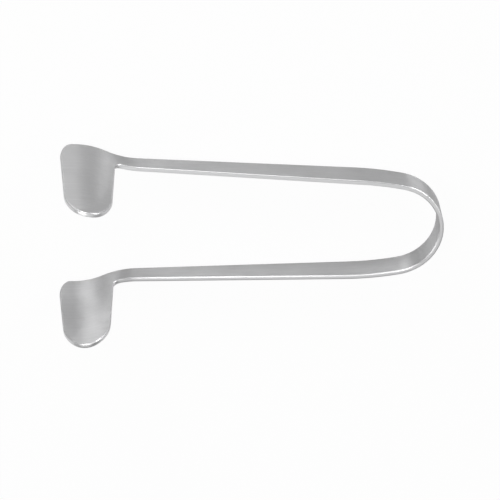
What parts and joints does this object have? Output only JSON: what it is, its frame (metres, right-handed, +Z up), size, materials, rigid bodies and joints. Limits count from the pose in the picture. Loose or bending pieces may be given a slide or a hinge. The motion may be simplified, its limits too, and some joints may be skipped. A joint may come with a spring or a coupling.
{
  "type": "nasal speculum",
  "caption": "Spring nasal speculum bent from stainless strip, with a finger bow and wide trough-shaped blades that hold the nostril open as the squeezed arms spread.",
  "frame": {"origin": "centre of the bounding box, at its bottom, on the surface that the edge of the strip lies on", "axes": "+X along the arms from the blades to the bow, +Y across the gap between the blades, +Z up to the tips of the blades"},
  "size_m": [0.08, 0.0334, 0.0284],
  "materials": {
    "satin_steel": "satin, finely brushed, with brighter rounded edges"
  },
  "bodies": {
    "root": {"nasal_speculum": "satin_steel"}
  },
  "joints": []
}
